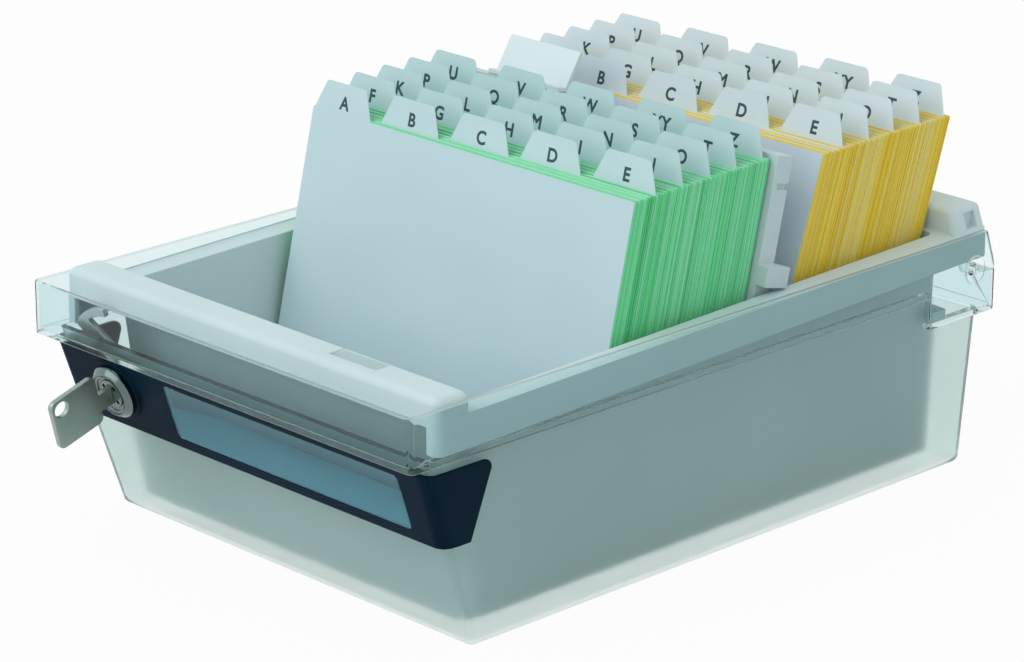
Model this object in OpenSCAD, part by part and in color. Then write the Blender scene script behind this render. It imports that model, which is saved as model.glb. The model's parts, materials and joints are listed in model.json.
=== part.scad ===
// Card index box for A6 cards: a card tray that stands in its own upturned, lockable lid.
// +Z is up and +Y points to the back. Heights count from the table. Depths inside this file
// count from the front face of the lid's collar; place() then puts the origin on the table,
// under the middle of the lid.

/* [Cards] */
// Width of one index card
card_w = 148; // [120:1:180]
// Height of one index card
card_h = 105; // [90:1:120]
// Thickness of one guide card
guide_t = 0.5; // [0.3:0.1:0.8]
// Thickness of the cards filed behind one guide
bundle_t = 1.77; // [1.2:0.01:2.2]
// Air between a guide and the cards beside it
leaf_gap = 0.05; // [0.02:0.01:0.1]
// Width of a guide's tab at its root
tab_w = 25.4; // [18:0.1:27]
// Height of a guide's tab
tab_h = 9.6; // [6:0.1:14]
// How far each side of a tab slants in
tab_slant = 4.6; // [2:0.1:6]
// Rounding of a tab's upper corners
tab_r = 1.4; // [0.5:0.1:2]
// Margin between the outer tabs and the card's edge
tab_margin = 2; // [0:0.5:6]
// Lean of the front cards
front_lean = 13.3; // [8:0.1:16]
// Lean of the rear cards
rear_lean = 18.5; // [14:0.1:22]

/* [Tray] */
// Wall of the tray
tray_wall = 2; // [1.6:0.1:2.4]
// Play between a card and the tray's side at the floor
card_side_gap = 1; // [0.6:0.1:3]
// How far each tray side leans out from floor to rail
tray_flare = 3; // [1:0.1:5]
// How far the tray's front wall leans out from floor to rail
front_flare = 6.4; // [2:0.1:8]
// Depth of the tray from rail to floor
tray_depth = 58.5; // [52:0.5:62]
// Height of the foot rim under the tray's floor
foot_h = 12.8; // [6:0.1:14]
// Thickness of the tray's floor
floor_t = 2.2; // [1.6:0.1:3]
// Width of the side rail's top
rail_w = 8.8; // [7:0.1:12]
// Height of the rail's skirt at the front
skirt_h = 11; // [8:0.5:14]
// Rise of the skirt's lower edge from front to back
skirt_rise = 6.5; // [3:0.5:8]
// Depth of the raised front bar
front_bar_d = 14; // [11:0.5:18]
// Height of the front bar above the rail
front_bar_h = 7; // [4:0.5:10]
// Depth of the raised rear bar
rear_bar_d = 15.3; // [12:0.1:18]
// Height of the rear bar above the rail
rear_bar_h = 13; // [10:0.5:18]
// How far the foot of the rear bar's ends stays in from the rail
rear_bar_inset = 0.6; // [0.4:0.1:2]
// How much each end of the rear bar leans in towards its top
rear_bar_taper = 2.6; // [0.5:0.1:4]
// Free length of floor in front of the cards
front_bay = 48.6; // [44:0.1:60]
// Gap at the floor between the support plate and the rear cards
rear_bay = 8.4; // [7:0.1:12]
// Radius of the tray's upright corners
tray_r = 6; // [4:0.5:8]
// Rounding of the front and rear bars
bar_round = 3; // [2:0.5:4]

/* [Support plate] */
// Thickness of the plate's web
plate_t = 2.2; // [1.6:0.1:3]
// Depth of the rim along the plate's edges
plate_rim_d = 7.2; // [6:0.1:8]
// Height of the plate above the top of the cards
plate_over = 3; // [0:0.5:4]
// Depth of the cheeks that guide the plate
cheek_d = 9.5; // [8:0.1:10]
// Height of the cheeks along the plate
cheek_h = 71; // [64:1:80]
// Depth of the ears that ride on the tray's rails
ear_d = 10.7; // [8:0.1:12]
// Height of the ears
ear_h = 10; // [6:0.5:14]
// How far an ear reaches over the rail
ear_over = 2.6; // [1.5:0.1:6]
// Width of the name tab
name_tab_w = 33; // [20:1:50]
// Height of the name tab
name_tab_h = 14; // [10:0.5:20]
// Distance of the name tab from the plate's left side
name_tab_end_gap = 18.4; // [4:0.1:40]
// Lean of the name tab
name_tab_lean = 33; // [25:1:45]
// Thickness of the name tab
name_tab_t = 1.5; // [1:0.1:2]

/* [Lid] */
// Height of the lid's body from the table to its ledge
lid_depth = 64.2; // [60:0.1:70]
// Wall of the lid's body
lid_wall = 1.8; // [1.4:0.1:2.2]
// Wall of the collar
collar_wall = 1.5; // [1.2:0.1:2]
// Height of the collar from the ledge to the rim
collar_h = 17.5; // [14:0.5:20]
// Thickness of the ledge between body and collar
ledge_t = 1.6; // [1.2:0.1:2]
// Slant of the lid's front
front_slant = 18; // [14:0.5:20]
// Depth of the ledge at the front
front_ledge = 8.5; // [6:0.1:10]
// Width of the ledge along the sides
side_ledge = 2.3; // [1.8:0.1:3]
// Depth of the ledge at the back
rear_ledge = 5.3; // [3.5:0.1:8]
// Draft of the lid's sides over their height
side_draft = 2.9; // [1:0.1:4]
// Draft of the lid's back over its height
rear_draft = 3.4; // [1:0.1:4]
// Radius of the lid's body corners
lid_r = 3; // [2.5:0.5:5]
// Gap between the tray's front bar and the collar
nose_gap = 10.5; // [8:0.1:13]
// Gap between the tray's rail and the collar
nest_gap = 0.45; // [0.35:0.05:0.8]
// How much deeper the collar is around the hinge
hinge_drop = 10.7; // [7:0.1:13]
// Length of the deeper part of the collar
hinge_len = 33.8; // [28:0.1:38]
// Height of the back wall of the deeper part
hinge_wall_h = 13.5; // [8:0.5:14]
// How far the ears slant forward at the rim
ear_slant = 6; // [3:0.1:8]
// Distance of the hinge stub from the collar's back
stub_end_gap = 12; // [10:0.1:14]
// Diameter of the hinge boss
boss_d = 9.5; // [8:0.1:11]
// Diameter of the moulded hinge stub
stub_d = 4.4; // [4:0.1:5]
// Bore of the hinge stub
stub_bore = 3; // [2:0.1:3.2]
// Length of the hinge stub
stub_len = 4; // [3:0.1:5]

/* [Front bar of the lid] */
// Thickness of the bar on the front
bar_t = 2.6; // [2.2:0.1:3.4]
// Thickness of the wings round the corners
wing_t = 1.2; // [0.8:0.1:1.6]
// Height of the bar
bar_h = 25.2; // [22:0.1:27]
// Gap between the bar and the ledge
bar_drop = 3.2; // [2:0.1:5]
// Length of a wing at the top
wing_top = 27; // [20:0.5:34]
// How much shorter a wing is at the bottom
wing_cut = 7.6; // [4:0.1:12]
// Length of the label
label_w = 108; // [60:1:115]
// Height of the label
label_h = 20; // [16:0.5:21]
// Thickness of the label card
label_t = 0.3; // [0.2:0.05:0.5]
// Thickness of the label's window
window_t = 1; // [0.8:0.1:1.4]
// Gap between the label and the right end of the bar
label_end_gap = 12.5; // [8:0.5:20]
// Diameter of the raised seat round the lock
seat_d = 21.4; // [20:0.1:22]
// Height of the seat above the bar
seat_h = 0.8; // [0.4:0.1:1.4]

/* [Lock] */
// Distance of the lock's axis from the lid's left side
lock_end_gap = 27; // [24:0.5:32]
// Distance of the lock's axis from the bar's upper edge
lock_drop = 10.8; // [10:0.1:13]
// Diameter of the lock's ring
ring_d = 18.6; // [17:0.1:19.5]
// How far the ring stands out from its seat
ring_h = 3.2; // [2.4:0.1:4]
// Depth of the dish inside the ring
dish = 1.1; // [0.6:0.1:1.4]
// Diameter of the lock's body
body_d = 14.4; // [13:0.1:15]
// Diameter of the plug
plug_d = 10; // [9:0.1:11]
// Running clearance of the plug
plug_play = 0.05; // [0.03:0.01:0.08]
// Reach of the cam's finger from the plug's axis
cam_reach = 26; // [24:0.5:26.5]
// Thickness of the cam
cam_t = 1.8; // [1.2:0.1:2]
// Thickness of the key
key_t = 1.8; // [1.2:0.1:2.2]
// Bare length of the blade between the lock and the bow
key_neck = 5.2; // [3:0.1:8]
// Turn of the keyway and the key from upright
key_turn = 7; // [0:1:15]
// Height of the key's bow
bow_h = 18; // [14:0.5:20]
// Length of the key's bow
bow_len = 18.5; // [14:0.5:24]
// How far the bow's middle lies above the blade's
bow_rise = 2; // [0:0.5:3]
// Diameter of the hole in the bow
bow_hole_d = 5.4; // [4:0.1:6]
// Metal left between the hole and the bow's edges
bow_hole_edge = 1.2; // [1:0.1:3]

/* [Hidden] */

// Clearances
seat_gap = 0.2;
fit_gap = 0.15;
lean_gap = 0.4;
slide_gap = 0.6;
end_gap = 1.4;

// Fineness of spheres inside a hull
soft_fn = 24;
// Larger than the whole box, for cuts that run right through
far = 600;

// Files: five guides, one for each tab position, stand in each of five rows
tabs_per_row = 5;
rows = 5;
leaf_pitch = guide_t + bundle_t + 2 * leaf_gap;
file_t = rows * tabs_per_row * leaf_pitch;
tab_step = (card_w - tab_w - 2 * tab_margin) / (tabs_per_row - 1);

// Heights above the table
ledge_top = lid_depth + ledge_t;
rim_z = lid_depth + collar_h;
rail_z = ledge_top + seat_gap + skirt_h;
floor_z = rail_z - tray_depth;
foot_z = floor_z - foot_h;
hinge_z = lid_depth - hinge_drop;
front_bar_z = rail_z + front_bar_h;
rear_bar_z = rail_z + rear_bar_h;

// Half widths
tub_in = card_w / 2 + card_side_gap;
tub_in_top = tub_in + tray_flare;
rail_out = tub_in_top + rail_w;
collar_in = rail_out + nest_gap;
collar_out = collar_in + collar_wall;
lid_half = collar_out - side_ledge;
lid_foot_half = lid_half - side_draft;
rear_bar_half = rail_out - rear_bar_inset;
rear_bar_top_half = rear_bar_half - rear_bar_taper;
plate_half = card_w / 2 + 2.4;
name_tab_x = name_tab_end_gap + name_tab_w / 2 - plate_half;
lock_x = lid_half - lock_end_gap;

// Depths from the collar's front face
tray_y = collar_wall + nose_gap;
front_bar_back = tray_y + front_bar_d;
tub_front = front_bar_back + tray_wall;
floor_front = tub_front + front_flare;
file1_y = floor_front + front_bay;
plate_y = file1_y + file_t / cos(front_lean) + lean_gap;
file2_y = plate_y + plate_rim_d / cos(front_lean) + rear_bay;
file2_back = file2_y + file_t / cos(rear_lean);
rear_bar_y = file2_back + (rear_bar_z - floor_z) * tan(rear_lean) + lean_gap;
tub_back = rear_bar_y - tray_wall;
rail_end = rear_bar_y + rear_bar_d;
collar_back_in = rail_end + end_gap;
collar_back = collar_back_in + collar_wall;
hinge_y = collar_back - hinge_len;
lid_foot_front = front_ledge + lid_depth * tan(front_slant);
lid_foot_back = collar_back - rear_ledge - rear_draft;
middle_y = (lid_foot_front + lid_foot_back) / 2;

// Hinge stub behind the tray, just under the rail
stub_gap = 0.7;
stub_y = collar_back - stub_end_gap;
stub_z = rail_z - skirt_h + skirt_rise - stub_d / 2 - stub_gap;

// Bar and label on the slanted front
bar_top = lid_depth - bar_drop;
bar_bottom = bar_top - bar_h;
label_recess = label_t + window_t;
label_x = lid_half - label_end_gap - label_w / 2;
label_v = (bar_top - 1.8) / cos(front_slant) - label_h / 2;
label_r = 1.2;

// Lock: its height along the slanted front, and distances along its axis outward from there
lock_v = bar_top / cos(front_slant) - lock_drop;
clip_t = 0.7;
clip_s = -lid_wall - fit_gap - clip_t;
housing_back = clip_s - 0.3;
seat_s = bar_t + seat_h;
ring_s = seat_s + ring_h;
plug_face = ring_s - dish + 0.3;
cam_s = housing_back - fit_gap - cam_t;
tail_end = cam_s - fit_gap;
tail_d = plug_d * 0.7;
groove_d = body_d - 2;
screw_d = 3;
screw_head_d = 6.4;
screw_head_t = 1.3;
blade_h = 6.5;
blade_end = -1.4;
keyway_play = 0.2;

module place() {
    translate([0, -middle_y, 0]) children();
}

// Local x runs along the lid's front, z up its slant, and -y out of it
module on_front() {
    translate([0, lid_foot_front, 0]) rotate([front_slant, 0, 0]) children();
}

// Local z runs out of the lid along the lock's axis, y up the slant
module at_lock() {
    place() on_front() translate([-lock_x, 0, lock_v]) rotate([90, 0, 0]) children();
}

// Extrudes an outline drawn in depth and height across the width
module across(width) {
    rotate([90, 0, 90]) linear_extrude(width, center = true) children();
}

module round_rect(w, h, r) {
    square([w - 2 * r, h], center = true);
    square([w, h - 2 * r], center = true);
    for (x = [-1, 1], y = [-1, 1])
        translate([x * (w / 2 - r), y * (h / 2 - r)]) circle(r, $fn = 32);
}

// Block with round upright corners
module round_block(half, y0, y1, z0, z1, r) {
    translate([0, (y0 + y1) / 2, z0]) linear_extrude(z1 - z0) round_rect(2 * half, y1 - y0, r);
}

// Block with round upright corners and a round top edge, whose ends lean in by a taper
module soft_block(half, y0, y1, z0, z1, r, taper = 0) {
    hull() for (side = [-1, 1], y = [y0 + r, y1 - r]) {
        translate([side * (half - taper - r), y, z1 - r]) sphere(r, $fn = soft_fn);
        translate([side * (half - r), y, z0]) cylinder(h = 0.1, r = r, $fn = soft_fn);
    }
}

// Body of the lid: a ball of radius r rolls along its eight corners. The front ones may be
// pushed outward along the front's normal.
module lid_form(r, push = 0) {
    sink = 0.5;
    top_z = ledge_top + 8;
    rise = rear_draft / lid_depth;
    flare = side_draft / lid_depth;
    hull() for (z = [lid_r - sink, top_z], side = [-1, 1]) {
        x = side * (lid_foot_half + flare * z - lid_r);
        front = lid_foot_front - z * tan(front_slant) + lid_r / cos(front_slant);
        translate([x, front - push * cos(front_slant), z - push * sin(front_slant)])
            sphere(r, $fn = soft_fn);
        translate([x, lid_foot_back + rise * z - lid_r, z]) sphere(r, $fn = soft_fn);
    }
}

// Room inside the tray: straight walls that lean out, cut between two heights
module tub_form(grow, z0, z1) {
    wide = tray_flare / tray_depth;
    long = front_flare / tray_depth;
    r = tray_r - tray_wall + grow;
    hull() for (z = [z0, z1], side = [-1, 1]) {
        x = side * (tub_in + wide * (z - floor_z) + grow - r);
        front = floor_front - long * (z - floor_z) - grow + r;
        translate([x, front, z]) cylinder(h = 0.01, r = r, $fn = soft_fn);
        translate([x, tub_back + grow - r, z]) cylinder(h = 0.01, r = r, $fn = soft_fn);
    }
}

// The clear lid, upside down on the table, with its collar, hinge ears and stubs
module lid_shell() {
    color([0.8, 0.9, 0.87, 0.6]) place() difference() {
        union() {
            lid_walls();
            for (side = [-1, 1]) hinge_stub(side);
        }
        for (side = [-1, 1])
            translate([side * (collar_out + 1), stub_y, stub_z]) rotate([0, -side * 90, 0])
                cylinder(h = stub_len + 1, d = stub_bore, $fn = 32);
    }
}

module lid_walls() {
    rim_r = 2.5;
    difference() {
        union() {
            intersection() {
                lid_form(lid_r);
                translate([-far / 2, -far / 2, 0]) cube([far, far, ledge_top]);
            }
            collar_form(collar_out, 0, collar_back, rim_r, hinge_z, lid_depth, hinge_y, rim_z);
        }
        lid_form(lid_r - lid_wall);
        collar_form(collar_in, collar_wall, collar_back_in, rim_r - collar_wall,
            hinge_z + ledge_t, ledge_top, hinge_y + collar_wall, rim_z + 1);
        hinge_cuts();
        at_front_lock_hole();
    }
}

// Upright block from y0 to y1 that goes down to low_z behind step_y and to step_z before it
module collar_form(half, y0, y1, r, low_z, step_z, step_y, top_z) {
    difference() {
        round_block(half, y0, y1, low_z, top_z, r);
        translate([-far / 2, step_y - far, step_z - far]) cube([far, far, far]);
    }
}

// The back wall is lower than the ears beside it, and the ears slant forward
module hinge_cuts() {
    top = hinge_z + hinge_wall_h;
    nick = 0.5;
    translate([-collar_in, collar_back_in - 1, top]) cube([2 * collar_in, far, far]);
    across(far) polygon([
        [collar_back - nick, top], [collar_back - ear_slant, rim_z + 1],
        [collar_back + far, rim_z + 1], [collar_back + far, top]
    ]);
}

module hinge_stub(side) {
    boss_t = 0.8;
    translate([side * (collar_out + boss_t), stub_y, stub_z]) rotate([0, -side * 90, 0]) {
        cylinder(h = boss_t + collar_wall, d = boss_d, $fn = 48);
        cylinder(h = boss_t + collar_wall + stub_len, d = stub_d, $fn = 48);
    }
}

module at_front_lock_hole() {
    on_front() translate([-lock_x, 0, lock_v]) rotate([90, 0, 0])
        cylinder(h = 2 * (seat_s + lid_wall), d = body_d + 2 * fit_gap, center = true, $fn = 64);
}

// Dark bar that wraps the lid's front, with wings round both corners and a seat for the lock
module front_bar() {
    wing_y = front_ledge + bar_drop * tan(front_slant) - bar_t + wing_top;
    color([0.06, 0.1, 0.15]) place() difference() {
        union() {
            intersection() {
                lid_form(lid_r + wing_t, bar_t - wing_t);
                across(far) polygon(concat(
                    [[-far / 2, bar_top], [-far / 2, bar_bottom], [wing_y - wing_cut, bar_bottom]],
                    wing_corner(wing_y, 3)
                ));
            }
            on_front() translate([-lock_x, 0, lock_v]) rotate([90, 0, 0])
                cylinder(h = seat_s, d = seat_d, $fn = 64);
        }
        lid_form(lid_r + fit_gap / 2);
        on_front() translate([label_x, -bar_t + label_recess, label_v]) rotate([90, 0, 0])
            linear_extrude(10) round_rect(label_w, label_h, label_r);
        at_front_lock_hole();
    }
}

// Round upper corner of a wing, as points of an arc
function wing_corner(y, r) = [
    for (a = [0:15:90]) [y - r + r * cos(a), bar_top - r + r * sin(a)]
];

module label_leaf(depth, t) {
    on_front() translate([label_x, depth, label_v]) rotate([90, 0, 0])
        linear_extrude(t) round_rect(label_w - 2 * fit_gap, label_h - 2 * fit_gap, label_r);
}

// Paper strip in the bar's recess
module label_card() {
    color([0.5, 0.6, 0.66]) place() label_leaf(-bar_t + label_recess, label_t);
}

// Clear strip that covers the label, flush with the bar
module label_window() {
    color([0.85, 0.92, 0.95, 0.4]) place() label_leaf(-bar_t + window_t, window_t);
}

// Fixed part of the lock, held from behind by the clip in its groove
module lock_housing() {
    bore = plug_d / 2 + plug_play;
    bevel = 1.6;
    lip = 0.6;
    step = 1;
    color("silver") at_lock() rotate_extrude($fn = 64) polygon([
        [bore, housing_back], [body_d / 2, housing_back],
        [body_d / 2, clip_s - fit_gap / 2], [groove_d / 2, clip_s - fit_gap / 2],
        [groove_d / 2, -lid_wall - fit_gap / 2], [body_d / 2, -lid_wall - fit_gap / 2],
        [body_d / 2, seat_s], [ring_d / 2, seat_s],
        [ring_d / 2, ring_s - bevel], [ring_d / 2 - bevel, ring_s],
        [ring_d / 2 - bevel - lip, ring_s], [bore + step, ring_s - dish / 2],
        [bore + step, ring_s - dish], [bore, ring_s - dish]
    ]);
}

// Spring plate pushed onto the housing from below
module lock_clip() {
    slot = groove_d + 2 * fit_gap;
    color("lightgray") at_lock() translate([0, 0, clip_s]) linear_extrude(clip_t) difference() {
        round_rect(body_d + 7, body_d + 6, 2);
        circle(d = slot, $fn = 48);
        translate([-slot / 2, -body_d]) square([slot, body_d]);
    }
}

module lock_plug() {
    color("gainsboro") at_lock() difference() {
        union() {
            translate([0, 0, housing_back - fit_gap / 2])
                cylinder(h = plug_face - housing_back + fit_gap / 2, d = plug_d, $fn = 64);
            translate([0, 0, tail_end]) cylinder(h = plug_face - tail_end, d = tail_d, $fn = 48);
        }
        rotate(-key_turn)
            translate([-key_t / 2 - keyway_play, -blade_h / 2 - keyway_play, blade_end - keyway_play])
                cube([key_t + 2 * keyway_play, blade_h + 2 * keyway_play, far]);
        translate([0, 0, tail_end - 1])
            cylinder(h = blade_end - tail_end, d = screw_d + 2 * plug_play, $fn = 32);
    }
}

// Hook-shaped cam on the plug's tail: an arm and a finger that runs round the axis
module lock_cam() {
    hub_w = 4;
    finger_w = 2.8;
    finger_angle_1 = 97;
    finger_angle_2 = 142;
    arm_w = 7;
    far_in = 2 * cam_reach;
    color("lightsteelblue") at_lock() translate([0, 0, cam_s]) linear_extrude(cam_t) difference() {
        union() {
            circle(d = tail_d + 2 * hub_w, $fn = 48);
            difference() {
                intersection() {
                    circle(cam_reach, $fn = 96);
                    polygon([
                        [0, 0], far_in * [cos(finger_angle_1), sin(finger_angle_1)],
                        far_in * [cos(finger_angle_2), sin(finger_angle_2)]
                    ]);
                }
                intersection() {
                    circle(cam_reach - finger_w, $fn = 96);
                    rotate(finger_angle_2) translate([-cam_reach, -arm_w - far_in]) square(far_in);
                }
            }
        }
        circle(d = tail_d + 2 * plug_play, $fn = 48);
    }
}

module cam_screw() {
    shank = blade_end - tail_end - 1.5;
    color("silver") at_lock() translate([0, 0, tail_end - screw_head_t]) difference() {
        union() {
            cylinder(h = screw_head_t, d = screw_head_d, $fn = 48);
            cylinder(h = screw_head_t + shank, d = screw_d, $fn = 32);
        }
        translate([-far / 2, -0.4, -1]) cube([far, 0.8, 1.6]);
    }
}

// Flat key, drawn up the slant and out along the lock's axis
module key() {
    bow_s = plug_face + key_neck;
    hole_in = bow_hole_edge + bow_hole_d / 2;
    color([0.62, 0.62, 0.58]) at_lock() rotate(-key_turn) translate([-key_t / 2, 0, 0])
        rotate([90, 0, 90]) linear_extrude(key_t) difference() {
            union() {
                translate([bow_rise, bow_s + bow_len / 2]) round_rect(bow_h, bow_len, 2.2);
                translate([-blade_h / 2, blade_end]) square([blade_h, bow_s - blade_end + 3]);
            }
            translate([bow_rise + bow_h / 2 - hole_in, bow_s + bow_len - hole_in])
                circle(d = bow_hole_d, $fn = 48);
        }
}

// Card tray: leaning walls, raised floor, hollow rail and bars
module tray() {
    color([0.78, 0.83, 0.84]) place() {
        difference() {
            union() {
                tub_form(tray_wall, foot_z, rail_z - 0.1);
                tray_rim();
                for (side = [-1, 1]) tray_lug(side);
            }
            tub_form(0, floor_z, rear_bar_z + 1);
            tub_form(0, foot_z - 1, floor_z - floor_t);
        }
        floor_ribs();
    }
}

// Rail, front bar and rear bar, hollow from below
module tray_rim() {
    catch_w = 21;
    catch_d = 6.5;
    catch_deep = 1.6;
    catch_shallow = 0.5;
    catch_end_gap = 32.3;
    catch_x = rail_out - catch_end_gap - catch_w / 2;
    catch_back = front_bar_back - tray_wall;
    groove_y = rear_bar_y + 5.6;
    groove_w = 5.2;
    groove_low = rail_z + 1.2;
    groove_high = rear_bar_z - bar_round - 0.3;
    groove_floor = rear_bar_top_half - 0.9;
    difference() {
        union() {
            round_block(rail_out, tray_y, rail_end, rail_z - skirt_h, rail_z, 3.5);
            soft_block(rail_out, tray_y, front_bar_back, rail_z - skirt_h, front_bar_z, bar_round);
            soft_block(rear_bar_half, rear_bar_y, rail_end, rail_z - 1, rear_bar_z, bar_round,
                rear_bar_taper);
        }
        rim_hollow();
        skirt_cut();
        // Catch in the front bar, whose floor falls towards the front
        translate([catch_x, 0, 0]) across(catch_w) polygon([
            [catch_back - catch_d, front_bar_z - catch_deep], [catch_back, front_bar_z - catch_shallow],
            [catch_back, front_bar_z + 1], [catch_back - catch_d, front_bar_z + 1]
        ]);
        // Grooves in the ends of the rear bar
        for (side = [-1, 1])
            translate([side > 0 ? groove_floor : -groove_floor - far, groove_y, groove_low])
                cube([far, groove_w, groove_high - groove_low]);
    }
}

module rim_hollow() {
    low = rail_z - skirt_h - 1;
    in = tray_wall;
    round_block(rail_out - in, tray_y + in, rail_end - in, low, rail_z - in, 1.5);
    round_block(rail_out - in, tray_y + in, front_bar_back, low, front_bar_z - in, 1.5);
    round_block(rear_bar_top_half - in, rear_bar_y + in, rail_end - in, low, rear_bar_z - in, 1.5);
}

// The skirt gets shorter towards the back, and is cut away at the front, where the lid's cam reaches in
module skirt_cut() {
    low = rail_z - skirt_h;
    level = 16;
    front_cut = 8.5;
    corner = 5;
    across(far) polygon([
        [tray_y - 1, low - far], [tray_y - 1, low], [tray_y + level, low],
        [rail_end + 1, low + skirt_rise], [rail_end + 1, low - far]
    ]);
    translate([-rail_out + corner, tray_y - 1, low - 1])
        cube([2 * (rail_out - corner), tray_wall + 1, front_cut + 1]);
}

// Lug on the tray's side that rests on the deep end of the lid's ledge
module tray_lug(side) {
    lug_gap = 1.2;
    lug_d = 7;
    lug_h = 3.2;
    lug_y = hinge_y + collar_wall + lug_gap;
    translate([side > 0 ? tub_in : -rail_out, lug_y, hinge_z + ledge_t + seat_gap])
        cube([rail_out - tub_in, lug_d, lug_h]);
}

// Ribs that stiffen the floor from below
module floor_ribs() {
    rib = 1.6;
    rib_z = foot_z + 5;
    long = tub_back - floor_front;
    intersection() {
        tub_form(0.5, foot_z, floor_z - floor_t / 2);
        for (i = [-1:1]) {
            translate([i * tub_in / 2 - rib / 2, floor_front - 10, rib_z])
                cube([rib, long + 20, floor_z - floor_t - rib_z + 0.5]);
            translate([-far / 2, floor_front + long * (i + 2) / 4 - rib / 2, rib_z])
                cube([far, rib, floor_z - floor_t - rib_z + 0.5]);
        }
    }
}

// Local x across, y through the plate to the back, z up along its lean
module at_plate() {
    place() translate([0, plate_y, floor_z]) rotate([-front_lean, 0, 0]) children();
}

// Plate that the front cards lean on. Its cheeks run between the tray's walls, and its ears
// ride on the rails.
module support_plate() {
    top = card_h + plate_over;
    foot_half = tub_in - slide_gap;
    turn = tray_depth / cos(front_lean);
    notch_v = top - 11;
    notch_h = 2;
    rim_w = 2.6;
    ear_v = (tray_depth + seat_gap + ear_d * sin(front_lean)) / cos(front_lean);
    ear_w = tub_in_top + ear_over - plate_half + rim_w;
    color([0.82, 0.86, 0.88]) difference() {
        at_plate() difference() {
            plate_slab(plate_rim_d) polygon([
                [-foot_half, -5], [foot_half, -5], [plate_half, turn], [plate_half, top],
                [-plate_half, top], [-plate_half, turn]
            ]);
            translate([0, plate_t, 0]) plate_slab(far) polygon([
                [-foot_half + rim_w, -9], [foot_half - rim_w, -9], [plate_half - rim_w, turn],
                [plate_half - rim_w, top - rim_w], [-plate_half + rim_w, top - rim_w],
                [-plate_half + rim_w, turn]
            ]);
            for (side = [-1, 1])
                translate([side * plate_half - rim_w / 2, plate_t, notch_v]) cube([rim_w, far, notch_h]);
        }
        floor_clear();
    }
    color([0.82, 0.86, 0.88]) at_plate() for (side = [-1, 1])
        translate([side * (plate_half - rim_w + ear_w / 2) - ear_w / 2, 0, ear_v])
            cube([ear_w, ear_d, ear_h]);
    color([0.82, 0.86, 0.88]) for (side = [-1, 1]) difference() {
        at_plate() translate([0, plate_t / 2, 0]) plate_slab(cheek_d - plate_t / 2) polygon([
            [side * (foot_half - 7), -5], [side * foot_half, -5], [side * plate_half, turn],
            [side * plate_half, cheek_h - 2], [side * (plate_half - 2), cheek_h],
            [side * (plate_half - 7), cheek_h]
        ]);
        floor_clear();
    }
}

module plate_slab(t) {
    translate([0, t, 0]) rotate([90, 0, 0]) linear_extrude(t) children();
}

// Takes away what would reach into the tray's floor
module floor_clear() {
    translate([-far / 2, -far / 2, floor_z + seat_gap - far]) cube([far, far, far]);
}

// White tab for a name, hooked over the plate's top edge
module name_tab() {
    top = card_h + plate_over;
    leg = 7;
    t = name_tab_t;
    back = plate_rim_d + fit_gap;
    seat = top + fit_gap;
    turn = name_tab_lean - front_lean;
    color("white") at_plate() translate([name_tab_x, 0, 0]) rotate([90, 0, 90])
        linear_extrude(name_tab_w, center = true) {
            polygon([
                [back, top - leg], [back + t, top - leg], [back + t, seat + t],
                [plate_t, seat + t], [plate_t, seat], [back, seat]
            ]);
            translate([back - t, seat + t * sin(turn)]) rotate(-turn) square([t, name_tab_h]);
        }
}

// Place of leaf number i in a file of cards that leans back and stands on the tray's floor
module at_leaf(y, lean, i) {
    lift = seat_gap + leaf_pitch * sin(lean);
    place() translate([0, y + i * leaf_pitch / cos(lean), floor_z + lift])
        rotate([-lean, 0, 0]) children();
}

function tab_x(k) = -card_w / 2 + tab_margin + k * tab_step;

// Round upper corner of a tab whose side rises at an angle, as points of an arc
function tab_corner(x, side) = let (rise = atan2(tab_h, tab_slant)) [
    for (i = [0:3]) let (a = side > 0 ? 90 - rise * (1 - i / 3) : 90 + rise * i / 3) [
        x - side * tab_r * tan(rise / 2) + tab_r * cos(a),
        card_h + tab_h - tab_r + tab_r * sin(a)
    ]
];

// One row of guides, whose tabs step from left to right
module guide_row(y, lean, row) {
    for (k = [0:tabs_per_row - 1]) {
        x = tab_x(k);
        at_leaf(y, lean, row * tabs_per_row + k) plate_slab(guide_t) polygon(concat(
            [[-card_w / 2, 0], [card_w / 2, 0], [card_w / 2, card_h], [x + tab_w, card_h]],
            tab_corner(x + tab_w - tab_slant, 1), tab_corner(x + tab_slant, -1),
            [[x, card_h], [-card_w / 2, card_h]]
        ));
    }
}

// The cards filed behind one row of guides, one bundle behind each guide
module card_row(y, lean, row) {
    for (k = [0:tabs_per_row - 1])
        at_leaf(y, lean, row * tabs_per_row + k)
            translate([-card_w / 2, guide_t + leaf_gap, 0]) cube([card_w, bundle_t, card_h]);
}

module front_guides(row) {
    color([0.72, 0.8, 0.83]) guide_row(file1_y, front_lean, row - 1);
}

module front_cards(row) {
    color([0.35, 0.75, 0.5]) card_row(file1_y, front_lean, row - 1);
}

module rear_guides(row) {
    color([0.72, 0.8, 0.83]) guide_row(file2_y, rear_lean, row - 1);
}

module rear_cards(row) {
    color([0.9, 0.72, 0.2]) card_row(file2_y, rear_lean, row - 1);
}

lid_shell();
front_bar();
label_card();
label_window();
lock_housing();
lock_clip();
lock_plug();
lock_cam();
cam_screw();
key();
tray();
support_plate();
name_tab();
for (row = [1:rows]) {
    front_guides(row);
    front_cards(row);
    rear_guides(row);
    rear_cards(row);
}
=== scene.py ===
import json
import math
import random

import bpy
from mathutils import Matrix, Vector


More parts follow.
